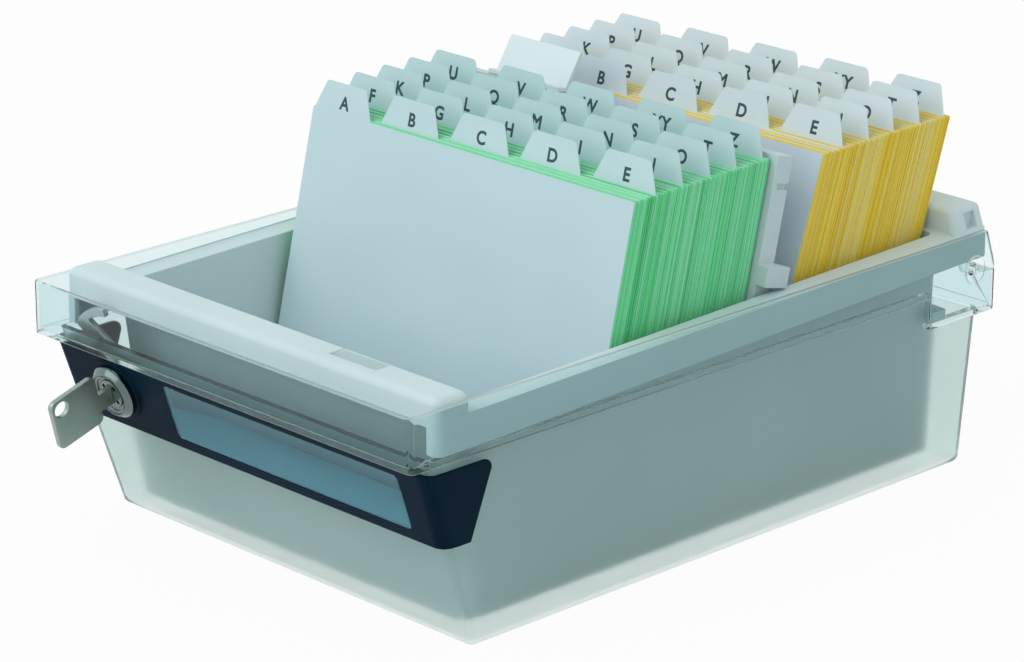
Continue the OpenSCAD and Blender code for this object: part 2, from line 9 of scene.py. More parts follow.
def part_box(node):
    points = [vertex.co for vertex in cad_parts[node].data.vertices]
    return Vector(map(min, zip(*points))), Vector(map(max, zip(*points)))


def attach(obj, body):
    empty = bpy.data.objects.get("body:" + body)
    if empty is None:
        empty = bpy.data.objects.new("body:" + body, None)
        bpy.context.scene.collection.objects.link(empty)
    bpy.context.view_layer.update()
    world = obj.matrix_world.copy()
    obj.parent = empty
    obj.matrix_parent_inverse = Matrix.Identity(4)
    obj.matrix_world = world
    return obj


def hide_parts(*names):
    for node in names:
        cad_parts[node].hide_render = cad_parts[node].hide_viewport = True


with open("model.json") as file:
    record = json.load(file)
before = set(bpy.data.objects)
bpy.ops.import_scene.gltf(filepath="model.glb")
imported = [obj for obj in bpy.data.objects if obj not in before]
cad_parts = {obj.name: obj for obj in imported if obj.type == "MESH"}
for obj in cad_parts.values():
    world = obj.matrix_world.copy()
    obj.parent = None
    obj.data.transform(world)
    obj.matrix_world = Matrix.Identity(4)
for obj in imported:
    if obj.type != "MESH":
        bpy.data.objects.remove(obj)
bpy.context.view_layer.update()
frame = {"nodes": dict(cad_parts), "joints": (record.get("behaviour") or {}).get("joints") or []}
nodes = frame["nodes"]
dice = random.Random(11)
mm = 0.001
weld = 0.02 * mm  # points of the solids closer than this are one
hair = 0.05 * mm  # slack when a face or point is found by its place
print("frame loaded with", len(nodes), "nodes")


# Small tools for working by operator

def deselectAll():
    if bpy.context.mode != "OBJECT":
        bpy.ops.object.mode_set(mode="OBJECT")
    bpy.ops.object.select_all(action="DESELECT")


def pick(*pieces):
    deselectAll()
    for piece in pieces:
        piece.select_set(True)
    bpy.context.view_layer.objects.active = pieces[0]


def addBlock(name, low, high):
    deselectAll()
    low, high = Vector(low), Vector(high)
    bpy.ops.mesh.primitive_cube_add(size=1, location=(low + high) / 2, scale=high - low)
    piece = bpy.context.object
    piece.name = name
    bpy.ops.object.transform_apply(location=True, rotation=True, scale=True)
    return piece


def chooseFaces(piece, test):  # leaves edit mode open with the chosen faces selected
    pick(piece)
    bpy.ops.object.mode_set(mode="EDIT")
    bpy.ops.mesh.select_mode(type="FACE")
    bpy.ops.mesh.select_all(action="DESELECT")
    bpy.ops.object.mode_set(mode="OBJECT")
    for face in piece.data.polygons:
        face.select = test(face.center, face.normal)
    bpy.ops.object.mode_set(mode="EDIT")


def chooseEdges(piece, test):
    pick(piece)
    bpy.ops.object.mode_set(mode="EDIT")
    bpy.ops.mesh.select_mode(type="EDGE")
    bpy.ops.mesh.select_all(action="DESELECT")
    bpy.ops.object.mode_set(mode="OBJECT")
    points = piece.data.vertices
    for edge in piece.data.edges:
        edge.select = test(points[edge.vertices[0]].co, points[edge.vertices[1]].co)
    bpy.ops.object.mode_set(mode="EDIT")


def closeEdit():
    bpy.ops.object.mode_set(mode="OBJECT")


def movedCopy(piece, place):
    copy = piece.copy()
    copy.data = piece.data.copy()
    copy.data.transform(place)
    bpy.context.scene.collection.objects.link(copy)
    return copy


def joinAs(name, pieces):
    pick(*pieces)
    bpy.ops.object.join()
    joined = bpy.context.object
    joined.name = name
    joined.data.name = name
    return joined


def discard(piece):
    bpy.data.objects.remove(piece)


def cutWith(piece, tool, operation):
    pick(piece)
    cut = piece.modifiers.new("cut", "BOOLEAN")
    cut.object = tool
    cut.operation = operation
    bpy.ops.object.modifier_apply(modifier="cut")
    discard(tool)


def roundThrough(piece, axis, test, radius):  # rounds the chosen edges that run along one axis
    others = [side for side in range(3) if side != axis]
    chooseEdges(piece, lambda a, b: all(abs(a[side] - b[side]) < 1e-6 for side in others) and test(a))
    bpy.ops.mesh.bevel(offset=radius, offset_type="OFFSET", segments=5, affect="EDGES")
    closeEdit()


def softenEdges(piece, width, shortest=0.3 * mm):  # a fine round on every sharp edge that is long enough
    pick(piece)
    bpy.ops.object.mode_set(mode="EDIT")
    bpy.ops.mesh.select_mode(type="EDGE")
    bpy.ops.mesh.select_all(action="DESELECT")
    bpy.ops.mesh.edges_select_sharp(sharpness=math.radians(40))
    bpy.ops.object.mode_set(mode="OBJECT")
    points = piece.data.vertices
    for edge in piece.data.edges:
        first, last = edge.vertices
        if (points[first].co - points[last].co).length < shortest:
            edge.select = False
    bpy.ops.object.mode_set(mode="EDIT")
    bpy.ops.mesh.bevel(offset=width, offset_type="OFFSET", segments=2, affect="EDGES", clamp_overlap=False)
    closeEdit()
    smoothFaces(piece)


def smoothFaces(piece):  # flat faces stay flat, the rounds between them shade softly
    pick(piece)
    bpy.ops.object.shade_smooth_by_angle(angle=math.radians(50))
    even = piece.modifiers.new("evenShade", "WEIGHTED_NORMAL")
    even.keep_sharp = True
    bpy.ops.object.modifier_apply(modifier="evenShade")


def cadCopy(node, name):
    source = nodes[node]
    copy = source.copy()
    copy.data = source.data.copy()
    copy.parent = None
    for key in list(copy.keys()):
        del copy[key]
    bpy.context.scene.collection.objects.link(copy)
    copy.name = name
    copy.data.name = name
    pick(copy)
    bpy.ops.mesh.customdata_custom_splitnormals_clear()
    bpy.ops.object.mode_set(mode="EDIT")
    bpy.ops.mesh.select_all(action="SELECT")
    bpy.ops.mesh.remove_doubles(threshold=weld)
    closeEdit()
    return copy


def dress(piece, finish, body, slot, *replaced):
    piece.data.materials.clear()
    piece.data.materials.append(finish)
    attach(piece, body)
    if replaced:
        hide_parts(*replaced)


# Finishes

def tone(red, green, blue):  # screen colour to the shader's linear one
    parts = [part / 255 for part in (red, green, blue)]
    return tuple(p / 12.92 if p < 0.04045 else ((p + 0.055) / 1.055) ** 2.4 for p in parts) + (1,)


def newFinish(name):
    finish = bpy.data.materials.new(name)
    finish.use_nodes = True
    return finish, finish.node_tree, finish.node_tree.nodes["Principled BSDF"]


def addNode(tree, kind, **settings):
    node = tree.nodes.new(kind)
    for key, value in settings.items():
        if key in node.inputs:
            node.inputs[key].default_value = value
        else:
            setattr(node, key, value)
    return node


def addNoise(tree, scale, detail=3.0, stretch=(1, 1, 1)):
    place = addNode(tree, "ShaderNodeTexCoord")
    spread = addNode(tree, "ShaderNodeMapping", Scale=stretch)
    noise = addNode(tree, "ShaderNodeTexNoise", Scale=scale, Detail=detail)
    tree.links.new(place.outputs["Object"], spread.inputs["Vector"])
    tree.links.new(spread.outputs["Vector"], noise.inputs["Vector"])
    return noise


def shiftColour(tree, shader, noise, low, high):
    ramp = addNode(tree, "ShaderNodeValToRGB")
    ramp.color_ramp.elements[0].position = 0.3
    ramp.color_ramp.elements[1].position = 0.7
    ramp.color_ramp.elements[0].color = low
    ramp.color_ramp.elements[1].color = high
    tree.links.new(noise.outputs["Fac"], ramp.inputs["Fac"])
    tree.links.new(ramp.outputs["Color"], shader.inputs["Base Color"])
    return ramp


def shiftRough(tree, shader, noise, low, high):
    spread = addNode(tree, "ShaderNodeMapRange")
    spread.inputs["From Min"].default_value = 0.3
    spread.inputs["From Max"].default_value = 0.7
    spread.inputs["To Min"].default_value = low
    spread.inputs["To Max"].default_value = high
    tree.links.new(noise.outputs["Fac"], spread.inputs["Value"])
    tree.links.new(spread.outputs["Result"], shader.inputs["Roughness"])


def addGrain(tree, shader, noise, depth):
    bump = addNode(tree, "ShaderNodeBump", Strength=0.6, Distance=depth)
    tree.links.new(noise.outputs["Fac"], bump.inputs["Height"])
    tree.links.new(bump.outputs["Normal"], shader.inputs["Normal"])


def plasticFinish(name, low, high, rough, grainScale, grainDepth, gloss=0.5):
    finish, tree, shader = newFinish(name)
    shiftColour(tree, shader, addNoise(tree, 28), low, high)
    shiftRough(tree, shader, addNoise(tree, 160), rough[0], rough[1])
    addGrain(tree, shader, addNoise(tree, grainScale, 2), grainDepth)
    shader.inputs["Specular IOR Level"].default_value = gloss
    return finish


def letLampsThrough(tree, shader, tint):  # clear plastic throws a pale shadow, not a black one
    path = addNode(tree, "ShaderNodeLightPath")
    clear = addNode(tree, "ShaderNodeBsdfTransparent", Color=tint)
    mix = addNode(tree, "ShaderNodeMixShader")
    out = tree.nodes["Material Output"]
    tree.links.new(path.outputs["Is Shadow Ray"], mix.inputs["Fac"])
    tree.links.new(shader.outputs["BSDF"], mix.inputs[1])
    tree.links.new(clear.outputs["BSDF"], mix.inputs[2])
    tree.links.new(mix.outputs["Shader"], out.inputs["Surface"])


def frostedFinish():
    finish, tree, shader = newFinish("lidFrosted")
    shiftColour(tree, shader, addNoise(tree, 24), tone(224, 242, 239), tone(229, 245, 242))
    shiftRough(tree, shader, addNoise(tree, 300), 0.36, 0.42)
    addGrain(tree, shader, addNoise(tree, 2600, 2), 0.02 * mm)
    shader.inputs["Transmission Weight"].default_value = 0.93
    shader.inputs["IOR"].default_value = 1.38
    letLampsThrough(tree, shader, tone(160, 182, 181))
    return finish


def clearFinish(name, tint, rough, wave, through=1.0):
    finish, tree, shader = newFinish(name)
    shader.inputs["Base Color"].default_value = tint
    shiftRough(tree, shader, addNoise(tree, 90), rough[0], rough[1])
    addGrain(tree, shader, addNoise(tree, 30, 1), wave)
    shader.inputs["Transmission Weight"].default_value = through
    shader.inputs["IOR"].default_value = 1.22
    letLampsThrough(tree, shader, tone(216, 230, 232))
    return finish


def metalFinish(name, low, high, rough, stretch, scratch=0.004 * mm):
    finish, tree, shader = newFinish(name)
    shader.inputs["Metallic"].default_value = 1.0
    shiftColour(tree, shader, addNoise(tree, 60), low, high)
    brush = addNoise(tree, 900, 4, stretch)
    shiftRough(tree, shader, brush, rough[0], rough[1])
    addGrain(tree, shader, brush, scratch)
    return finish


def cardFinish(name, tones):  # each card takes its own random tone from the shade value on it, and its upper edge a paler painted highlight
    finish, tree, shader = newFinish(name)
    shade = addNode(tree, "ShaderNodeAttribute", attribute_name="shade")
    ramp = addNode(tree, "ShaderNodeValToRGB")
    ramp.color_ramp.elements[0].color = tones[0]
    ramp.color_ramp.elements[1].color = tones[-1]
    for spot, colour in enumerate(tones[1:-1], 1):
        ramp.color_ramp.elements.new(spot / (len(tones) - 1)).color = colour
    tree.links.new(shade.outputs["Fac"], ramp.inputs["Fac"])
    fibre = addNoise(tree, 420, 4)
    soften = addNode(tree, "ShaderNodeMix", data_type="RGBA", blend_type="MULTIPLY")
    soften.inputs[0].default_value = 0.1
    tree.links.new(ramp.outputs["Color"], soften.inputs[6])
    tree.links.new(fibre.outputs["Color"], soften.inputs[7])
    tree.links.new(soften.outputs[2], shader.inputs["Base Color"])
    shiftRough(tree, shader, fibre, 0.75, 0.9)
    addGrain(tree, shader, addNoise(tree, 2200, 3), 0.02 * mm)
    shader.inputs["Specular IOR Level"].default_value = 0.15
    return finish


lidFrosted = frostedFinish()
lidClear = clearFinish("lidClear", tone(228, 242, 243), (0.02, 0.04), 0.0005 * mm)
lidInner = clearFinish("lidInner", tone(246, 252, 251), (0.12, 0.16), 0.001 * mm)
# a paler, semi-frosted clear plastic for the rim and rounds: partly a rougher surface, partly a painted
# highlight
lidEdgeHighlight = clearFinish("lidEdgeHighlight", tone(222, 236, 236), (0.3, 0.4), 0.001 * mm, 0.6)
windowClear = clearFinish("windowClear", tone(244, 250, 252), (0.04, 0.08), 0.002 * mm)
barPlastic = plasticFinish("barPlastic", tone(8, 30, 45), tone(11, 36, 52),
                           (0.42, 0.48), 2400, 0.006 * mm, 0.03)
trayPlastic = plasticFinish("trayPlastic", tone(205, 219, 221), tone(210, 223, 225),
                            (0.46, 0.54), 2600, 0.012 * mm, 0.3)
# a darker tone of the tray plastic: painted shade for the catch's recessed floor
catchPaintedShade = plasticFinish("catchPaintedShade", tone(176, 194, 196), tone(182, 199, 201),
                             (0.5, 0.6), 1800, 0.02 * mm, 0.2)
platePlastic = plasticFinish("platePlastic", tone(196, 210, 213), tone(201, 214, 217),
                             (0.46, 0.54), 2600, 0.012 * mm, 0.3)
tabPlastic = plasticFinish("tabPlastic", tone(222, 231, 236), tone(226, 235, 240),
                           (0.4, 0.46), 2400, 0.006 * mm, 0.3)
labelPaper = plasticFinish("labelPaper", tone(92, 156, 172), tone(98, 161, 177),
                           (0.7, 0.8), 1800, 0.01 * mm, 0.1)
guidePaper = plasticFinish("guidePaper", tone(196, 217, 222), tone(200, 220, 225),
                           (0.6, 0.7), 1500, 0.012 * mm, 0.2)
rearGuidePaper = plasticFinish("rearGuidePaper", tone(213, 225, 233), tone(217, 228, 236),
                               (0.6, 0.7), 1500, 0.012 * mm, 0.2)
letterInk = plasticFinish("letterInk", tone(60, 82, 88), tone(68, 90, 96), (0.6, 0.7), 1500, 0.004 * mm, 0.2)
lockChrome = metalFinish("lockChrome", tone(92, 108, 107), tone(116, 131, 129), (0.1, 0.16), (1, 1, 1))
lockNickel = metalFinish("lockNickel", tone(98, 113, 110), tone(120, 134, 130), (0.2, 0.28), (1, 1, 6))
springSteel = metalFinish("springSteel", tone(180, 188, 188), tone(194, 202, 202), (0.3, 0.4), (1, 6, 1))
lockDark = metalFinish("lockDark", tone(34, 42, 42), tone(46, 54, 54), (0.4, 0.5), (1, 1, 1))
keySteel = metalFinish("keySteel", tone(150, 164, 158), tone(168, 180, 175), (0.34, 0.44), (6, 1, 1))
# the palest tone of each list mostly serves the painted highlight on the cards' upper edges; the others are
# the cards' own tones
greenCards = cardFinish("greenCards", [tone(84, 206, 132), tone(116, 228, 158),
                                       tone(146, 238, 182), tone(208, 248, 224)])
yellowCards = cardFinish("yellowCards", [tone(240, 198, 48), tone(248, 214, 76),
                                         tone(250, 226, 112), tone(250, 242, 196)])
print("finishes made")


# Files of cards: guides with stepped tabs and the cards between them

guideCard = dict(width=148 * mm, height=104.7 * mm, thick=0.22 * mm, sideInset=0.15 * mm, tabWidth=27 * mm,
                 tabHeight=9.9 * mm, tabSlant=4.2 * mm, tabMargin=0.9 * mm, tabRound=1.2 * mm,
                 cornerRound=0.6 * mm, jitter=0.2 * mm)
indexCard = dict(start=0.26 * mm, bundle=2.08 * mm, perBundle=6, gap=0.02 * mm, sideJitter=0.2 * mm,
                 height=105.2 * mm, topJitter=0.3 * mm, cornerRound=0.6 * mm)
cardFiles = [
    dict(name="front", body="front_file", lean=13.3, climb=1.3 * mm, slot="green_card", finish=greenCards,
         paper=guidePaper),
    dict(name="rear", body="rear_file", lean=18.5, climb=0.4 * mm, slot="yellow_card", finish=yellowCards,
         paper=rearGuidePaper),
]
tabLetters = ["A", "B", "C", "D", "E", "F", "G", "H", "I", "J", "K", "L", "M", "N", "O",
              "P", "Q", "R", "S", "T", "U", "V", "W", "XY", "Z"]
letterForm = dict(size=6.1 * mm, rise=1.5 * mm, aside=0.2 * mm, bold=0.2 * mm, ink=0.04 * mm)
tabsPerRow = 5
leafCount = 25
leafPitch = 2.37 * mm  # guide, cards and air in the solids
leafThick = 0.5 * mm  # guide in the solids


def tabLeft(column):
    step = (guideCard["width"] - guideCard["tabWidth"] - 2 * guideCard["tabMargin"]) / (tabsPerRow - 1)
    return -guideCard["width"] / 2 + guideCard["tabMargin"] + column * step


def leafPlace(file, index):  # from the flat card to its place in the leaning file
    lean = math.radians(file["lean"])
    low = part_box(file["name"] + "_guides_1")[0]
    foot = Vector((0, low.y + index * leafPitch / math.cos(lean), low.z + leafThick * math.sin(lean)))
    foot.z += file["climb"] * index / (leafCount - 1)  # each leaf stands a little higher than the one before
    return Matrix.Translation(foot) @ Matrix.Rotation(-lean, 4, "X")


def modelGuide(column):
    g = guideCard
    half = g["width"] / 2 - g["sideInset"]
    left = tabLeft(column)
    right = left + g["tabWidth"]
    guide = addBlock("guide", (-half, 0, 0), (half, g["thick"], g["height"]))
    for cut in (left, right):
        chooseFaces(guide, lambda centre, normal: True)
        bpy.ops.mesh.bisect(plane_co=(cut, 0, 0), plane_no=(1, 0, 0))
        closeEdit()
    chooseFaces(guide, lambda centre, normal: normal.z > 0.9 and left < centre.x < right)
    bpy.ops.mesh.extrude_region_move(TRANSFORM_OT_translate={"value": (0, 0, g["tabHeight"])})
    bpy.ops.transform.resize(value=(1 - 2 * g["tabSlant"] / g["tabWidth"], 1, 1),
                             center_override=((left + right) / 2, 0, g["height"] + g["tabHeight"]))
    closeEdit()
    roundThrough(guide, 1, lambda a: a.z > g["height"] + 0.9 * g["tabHeight"], g["tabRound"])
    roundThrough(guide, 1, lambda a: abs(a.x) > half - 2 * hair, g["cornerRound"])
    pick(guide)
    bpy.ops.object.shade_smooth_by_angle(angle=math.radians(30))
    return guide


def modelCard():
    g, c = guideCard, indexCard
    thick = c["bundle"] / c["perBundle"] - c["gap"]
    card = addBlock("card", (-g["width"] / 2, 0, 0), (g["width"] / 2, thick, c["height"] - c["topJitter"]))
    roundThrough(card, 1, lambda a: a.z > 0.5 * g["height"], c["cornerRound"])
    card.data.attributes.new("shade", "FLOAT", "FACE")
    return card


def modelLetter(text):  # a thin closed film of ink
    deselectAll()
    bpy.ops.object.text_add()
    outline = bpy.context.object.data
    outline.body = text
    outline.size = letterForm["size"]
    outline.bevel_depth = letterForm["bold"]
    outline.bevel_resolution = 0
    outline.align_x = "CENTER"
    bpy.ops.object.convert(target="MESH")
    letter = bpy.context.object
    letter.rotation_euler.x = math.radians(90)
    letter.scale.z = letterForm["ink"] / (2 * letterForm["bold"])
    bpy.ops.object.transform_apply(location=True, rotation=True, scale=True)
    return letter


def toneCardPaintTopHighlight(card, value):  # the upper edge is painted paler than the sides, a painted highlight for light falling on top; the sides keep each card's random tone
    shades = card.data.attributes["shade"].data
    for face in card.data.polygons:
        shades[face.index].value = 1 - 0.25 * value if face.normal.z > 0.9 else 0.85 * value


def buildFile(file, guideModels, cardModel):
    g, c = guideCard, indexCard
    letters = []
    cardStep = c["bundle"] / c["perBundle"]
    shade = 0.5
    for row in range(1, leafCount // tabsPerRow + 1):
        guides, cards = [], []
        for column in range(tabsPerRow):
            index = (row - 1) * tabsPerRow + column
            slip = Matrix.Translation((dice.uniform(-1, 1) * g["jitter"], 0, -dice.random() * g["jitter"]))
            place = leafPlace(file, index)
            guides.append(movedCopy(guideModels[column], place @ slip))
            middle = tabLeft(column) + g["tabWidth"] / 2 + letterForm["aside"]
            letter = modelLetter(tabLetters[index])
            onTab = Matrix.Translation((middle, 0, g["height"] + letterForm["rise"]))
            letter.data.transform(place @ slip @ onTab)
            letters.append(letter)
            for number in range(c["perBundle"]):
                aside = dice.uniform(-1, 1) * c["sideJitter"]
                lift = dice.random() ** 2 * c["topJitter"]
                depth = c["start"] + number * cardStep + c["gap"] / 2
                card = movedCopy(cardModel, place @ Matrix.Translation((aside, depth, lift)))
                shade = 0.45 * shade + 0.55 * dice.random()  # neighbours from one pack are alike
                toneCardPaintTopHighlight(card, shade)
                cards.append(card)
        rowName = str(row)
        guideRow = joinAs(file["name"] + "Guides" + rowName, guides)
        dress(guideRow, file["paper"], file["body"], "guide_card", file["name"] + "_guides_" + rowName)
        cardRow = joinAs(file["name"] + "Cards" + rowName, cards)
        dress(cardRow, file["finish"], file["body"], file["slot"], file["name"] + "_cards_" + rowName)
    dress(joinAs(file["name"] + "Letters", letters), letterInk, file["body"], "guide_card")
    print(file["name"], "file stands")


guideModels = [modelGuide(column) for column in range(tabsPerRow)]
cardModel = modelCard()
for cardFile in cardFiles:
    buildFile(cardFile, guideModels, cardModel)
for model in guideModels + [cardModel]:
    discard(model)


# Lid: frosted body, clear collar

lidSplit = dict(ledge=64.2 * mm, rim=81.7 * mm, stepFront=88.4 * mm, sideOut=86.9 * mm, backOut=117.1 * mm,
                edge=0.25 * mm, slack=0.3 * mm, stub=(110.2 * mm, 69.6 * mm), boss=4.6 * mm)
barEdge = 0.3 * mm


def isCollar(centre):
    if centre.z > lidSplit["ledge"] - lidSplit["slack"]:
        return True
    outside = abs(centre.x) > lidSplit["sideOut"] or centre.y > lidSplit["backOut"]
    return outside and centre.y > lidSplit["stepFront"] - 4 * hair


def isEdge(piece, face):  # the rim and the rounds get the paler semi-frosted finish, a painted highlight for the light they catch
    corners = [piece.data.vertices[number].co for number in face.vertices]
    longest = max((a - b).length for a, b in zip(corners, corners[1:] + corners[:1]))
    narrow = len(corners) == 4 and face.area < lidSplit["edge"] * longest
    slanting = 0.25 < abs(face.normal.z) < 0.95
    return face.center.z > lidSplit["rim"] - lidSplit["slack"] or narrow or slanting


def isStub(centre):
    return math.hypot(centre.y - lidSplit["stub"][0], centre.z - lidSplit["stub"][1]) < lidSplit["boss"]


def looksIn(face):  # the inner side of the frosted body is smooth
    if abs(face.normal.z) > 0.7:
        return face.normal.z > 0
    return face.normal.x * face.center.x + face.normal.y * face.center.y < 0


lid = cadCopy("lid_shell", "lidShell")
softenEdges(lid, lidSplit["edge"])
dress(lid, lidFrosted, "lid", "lid_plastic", "lid_shell")
lid.data.materials.append(lidClear)
lid.data.materials.append(lidEdgeHighlight)
lid.data.materials.append(lidInner)
for face in lid.data.polygons:
    if isStub(face.center):
        face.material_index = 3
    elif isCollar(face.center):
        face.material_index = 2 if isEdge(lid, face) else 1
    elif looksIn(face):
        face.material_index = 3

frontBar = cadCopy("front_bar", "frontBar")
softenEdges(frontBar, barEdge)
dress(frontBar, barPlastic, "lid", "bar_plastic", "front_bar")
print("lid and bar dressed")


# Label strip under its clear window

labelWindow = dict(width=107.7 * mm, height=19.7 * mm, thick=1 * mm, cornerRound=1.2 * mm, edge=0.2 * mm)
frontSlant = math.radians(18)


def buildWindow():
    w = labelWindow
    size = Vector((w["width"], w["thick"], w["height"]))
    window = addBlock("labelWindow", -size / 2, size / 2)
    roundThrough(window, 1, lambda a: True, w["cornerRound"])
    softenEdges(window, w["edge"])
    low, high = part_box("label_window")
    window.data.transform(Matrix.Translation((low + high) / 2) @ Matrix.Rotation(frontSlant, 4, "X"))
    dress(window, windowClear, "lid", "window_plastic", "label_window")


buildWindow()


# Lock and key, modelled along the lock's axis and then set into the front

plugTurn = next(joint for joint in frame["joints"] if joint["name"] == "plug_turn")
lockOut = Vector(plugTurn["axis"])
lockUp = lockOut.cross(Vector((1, 0, 0)))
lockPlace = Matrix.Translation(plugTurn["pos_m"]) @ Matrix((
    (1, lockUp.x, lockOut.x, 0), (0, lockUp.y, lockOut.y, 0), (0, lockUp.z, lockOut.z, 0), (0, 0, 0, 1)))
plugFace = dict(dimple=1.5 * mm, deep=0.6 * mm, ring=3.5 * mm, count=4, edge=0.12 * mm)
housingFace = dict(groove=13.6 * mm, width=0.5 * mm, deep=0.5 * mm, edge=0.15 * mm)
keyForm = dict(turn=7, thick=1.8 * mm, bowHeight=18 * mm, bowLength=18.5 * mm, bowRise=2 * mm,
               cornerRound=2.2 * mm, hole=5.4 * mm, holeEdge=1.2 * mm, bladeHeight=6.5 * mm, edge=0.25 * mm)
camEdge = 0.2 * mm


def reach(node):  # how far a node goes in and out along the lock's axis
    back = lockPlace.inverted()
    depths = [(back @ point.co).z for point in nodes[node].data.vertices]
    return min(depths), max(depths)


def addPin(name, radius, low, high, centre=(0, 0), axis="Z", sides=32):
    deselectAll()
    turn = (0, math.radians(90), 0) if axis == "X" else (0, 0, 0)
    middle = (0, *centre) if axis == "X" else (*centre, (low + high) / 2)
    bpy.ops.mesh.primitive_cylinder_add(vertices=sides, radius=radius, depth=high - low,
                                        location=middle, rotation=turn)
    pin = bpy.context.object
    pin.name = name
    bpy.ops.object.transform_apply(location=True, rotation=True, scale=True)
    return pin


def buildPlug():
    p = plugFace
    face = reach("lock_plug")[1]
    plug = cadCopy("lock_plug", "lockPlug")
    plug.data.transform(lockPlace.inverted())
    for number in range(p["count"]):
        angle = math.radians(45 + 360 * number / p["count"])
        centre = (p["ring"] * math.cos(angle), p["ring"] * math.sin(angle))
        dimple = addPin("dimple", p["dimple"] / 2, face - p["deep"], face + p["deep"], centre)
        cutWith(plug, dimple, "DIFFERENCE")
    softenEdges(plug, p["edge"])
    sunk = [part.index for part in plug.data.polygons
            if face - p["deep"] - hair < part.center.z < face - 2 * hair
            and abs(part.center.xy.length - p["ring"]) < 0.6 * p["dimple"]]
    plug.data.transform(lockPlace)
    dress(plug, lockNickel, "plug", "lock_nickel", "lock_plug")
    # the floors of the four dimples take the dark metal finish
    plug.data.materials.append(lockDark)
    for index in sunk:
        plug.data.polygons[index].material_index = 1


def buildHousing():
    h = housingFace
    face = reach("lock_housing")[1]
    housing = cadCopy("lock_housing", "lockHousing")
    housing.data.transform(lockPlace.inverted())
    groove = addPin("groove", h["groove"] / 2 + h["width"], face - h["deep"], face + h["deep"], sides=72)
    core = addPin("core", h["groove"] / 2, face - 2 * h["deep"], face + 2 * h["deep"], sides=72)
    cutWith(groove, core, "DIFFERENCE")
    cutWith(housing, groove, "DIFFERENCE")
    softenEdges(housing, h["edge"])
    housing.data.transform(lockPlace)
    dress(housing, lockChrome, "lid", "lock_chrome", "lock_housing")


def buildKey():
    k = keyForm
    tip, end = reach("key")
    low = k["bowRise"] - k["bowHeight"] / 2
    key = addBlock("boxKey", (-k["thick"] / 2, low, end - k["bowLength"]),
                   (k["thick"] / 2, low + k["bowHeight"], end))
    roundThrough(key, 0, lambda a: True, k["cornerRound"])
    inset = k["holeEdge"] + k["hole"] / 2
    cutWith(key, addPin("hole", k["hole"] / 2, -k["thick"], k["thick"],
                        (low + k["bowHeight"] - inset, end - inset), "X"), "DIFFERENCE")
    blade = addBlock("blade", (-k["thick"] / 2, -k["bladeHeight"] / 2, tip),
                     (k["thick"] / 2, k["bladeHeight"] / 2, end - k["bowLength"] + k["cornerRound"]))
    cutWith(key, blade, "UNION")
    softenEdges(key, k["edge"])
    key.data.transform(lockPlace @ Matrix.Rotation(-math.radians(k["turn"]), 4, "Z"))
    dress(key, keySteel, "key", "key_steel", "key")


def buildSmallMetal(node, name, finish, body, slot, edge):
    piece = cadCopy(node, name)
    softenEdges(piece, edge)
    dress(piece, finish, body, slot, node)


buildPlug()
buildKey()
buildHousing()
buildSmallMetal("lock_cam", "lockCam", springSteel, "plug", "spring_steel", camEdge)
print("lock and key in place")


# Tray, support plate and small carried-over pieces

trayEdge = dict(edge=0.35 * mm, shortest=1 * mm)
plateEdge = dict(edge=0.35 * mm, tab=0.2 * mm)
trayBar = dict(depth=14 * mm, half=84.2 * mm, wall=2 * mm, low=75.1 * mm, lip=76.9 * mm, high=82.1 * mm,
               inset=0.35 * mm, seat=0.8 * mm)
trayRail = dict(top=77 * mm, skin=3 * mm, rise=5 * mm)
plateEar = dict(inner=73 * mm, lean=13.3, under=81.175 * mm, lift=3.3 * mm)


def closeBar(piece):  # the back wall of the front bar, from the tub's wall up to the bar's skin
    b = trayBar
    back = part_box("tray")[0].y + b["depth"]
    corner = (-b["half"], back - b["wall"], b["low"])
    foot = addBlock("barFoot", corner, (b["half"], back + b["seat"], b["lip"]))
    wall = addBlock("barWall", corner, (b["half"], back - b["inset"], b["high"]))
    cutWith(foot, wall, "UNION")
    cutWith(piece, foot, "UNION")


def raiseRail(piece):  # the rail's upper side climbs to the back, as its lower edge does
    low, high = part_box("tray")
    start = low.y + trayBar["depth"]
    for point in piece.data.vertices:
        if point.co.z > trayRail["top"] - trayRail["skin"]:
            share = max(0, (point.co.y - start) / (high.y - start))
            fade = min(1, (high.z - point.co.z) / (high.z - trayRail["top"]))
            point.co.z += trayRail["rise"] * share * fade


def raiseEars(piece):  # the ears ride on the climbing rail
    lean = math.radians(plateEar["lean"])
    up = Vector((0, math.sin(lean), math.cos(lean)))
    for point in piece.data.vertices:
        if abs(point.co.x) > plateEar["inner"] and abs(point.co.dot(up) - plateEar["under"]) < hair:
            point.co += plateEar["lift"] * up


tray = cadCopy("tray", "cardTray")
closeBar(tray)
raiseRail(tray)
softenEdges(tray, trayEdge["edge"], trayEdge["shortest"])
dress(tray, trayPlastic, "tray", "tray_plastic", "tray")
tray.data.materials.append(catchPaintedShade)
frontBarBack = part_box("tray")[0].y + trayBar["depth"]
for face in tray.data.polygons:  # the sloping floor of the catch in the front bar gets a darker tone, a painted shade in the recess
    if face.center.y < frontBarBack and -0.2 < face.normal.y < -0.14 and face.normal.z > 0.95:
        face.material_index = 1
plate = cadCopy("support_plate", "supportPlate")
raiseEars(plate)
softenEdges(plate, plateEdge["edge"])
dress(plate, platePlastic, "plate", "plate_plastic", "support_plate")
nameTab = cadCopy("name_tab", "nameTab")
softenEdges(nameTab, plateEdge["tab"])
dress(nameTab, tabPlastic, "plate", "tab_plastic", "name_tab")
for node, finish in (("label_card", labelPaper), ("lock_clip", springSteel), ("cam_screw", lockNickel)):
    nodes[node].data.materials.clear()
    nodes[node].data.materials.append(finish)
print("tray and plate dressed")


# Floor, light and camera

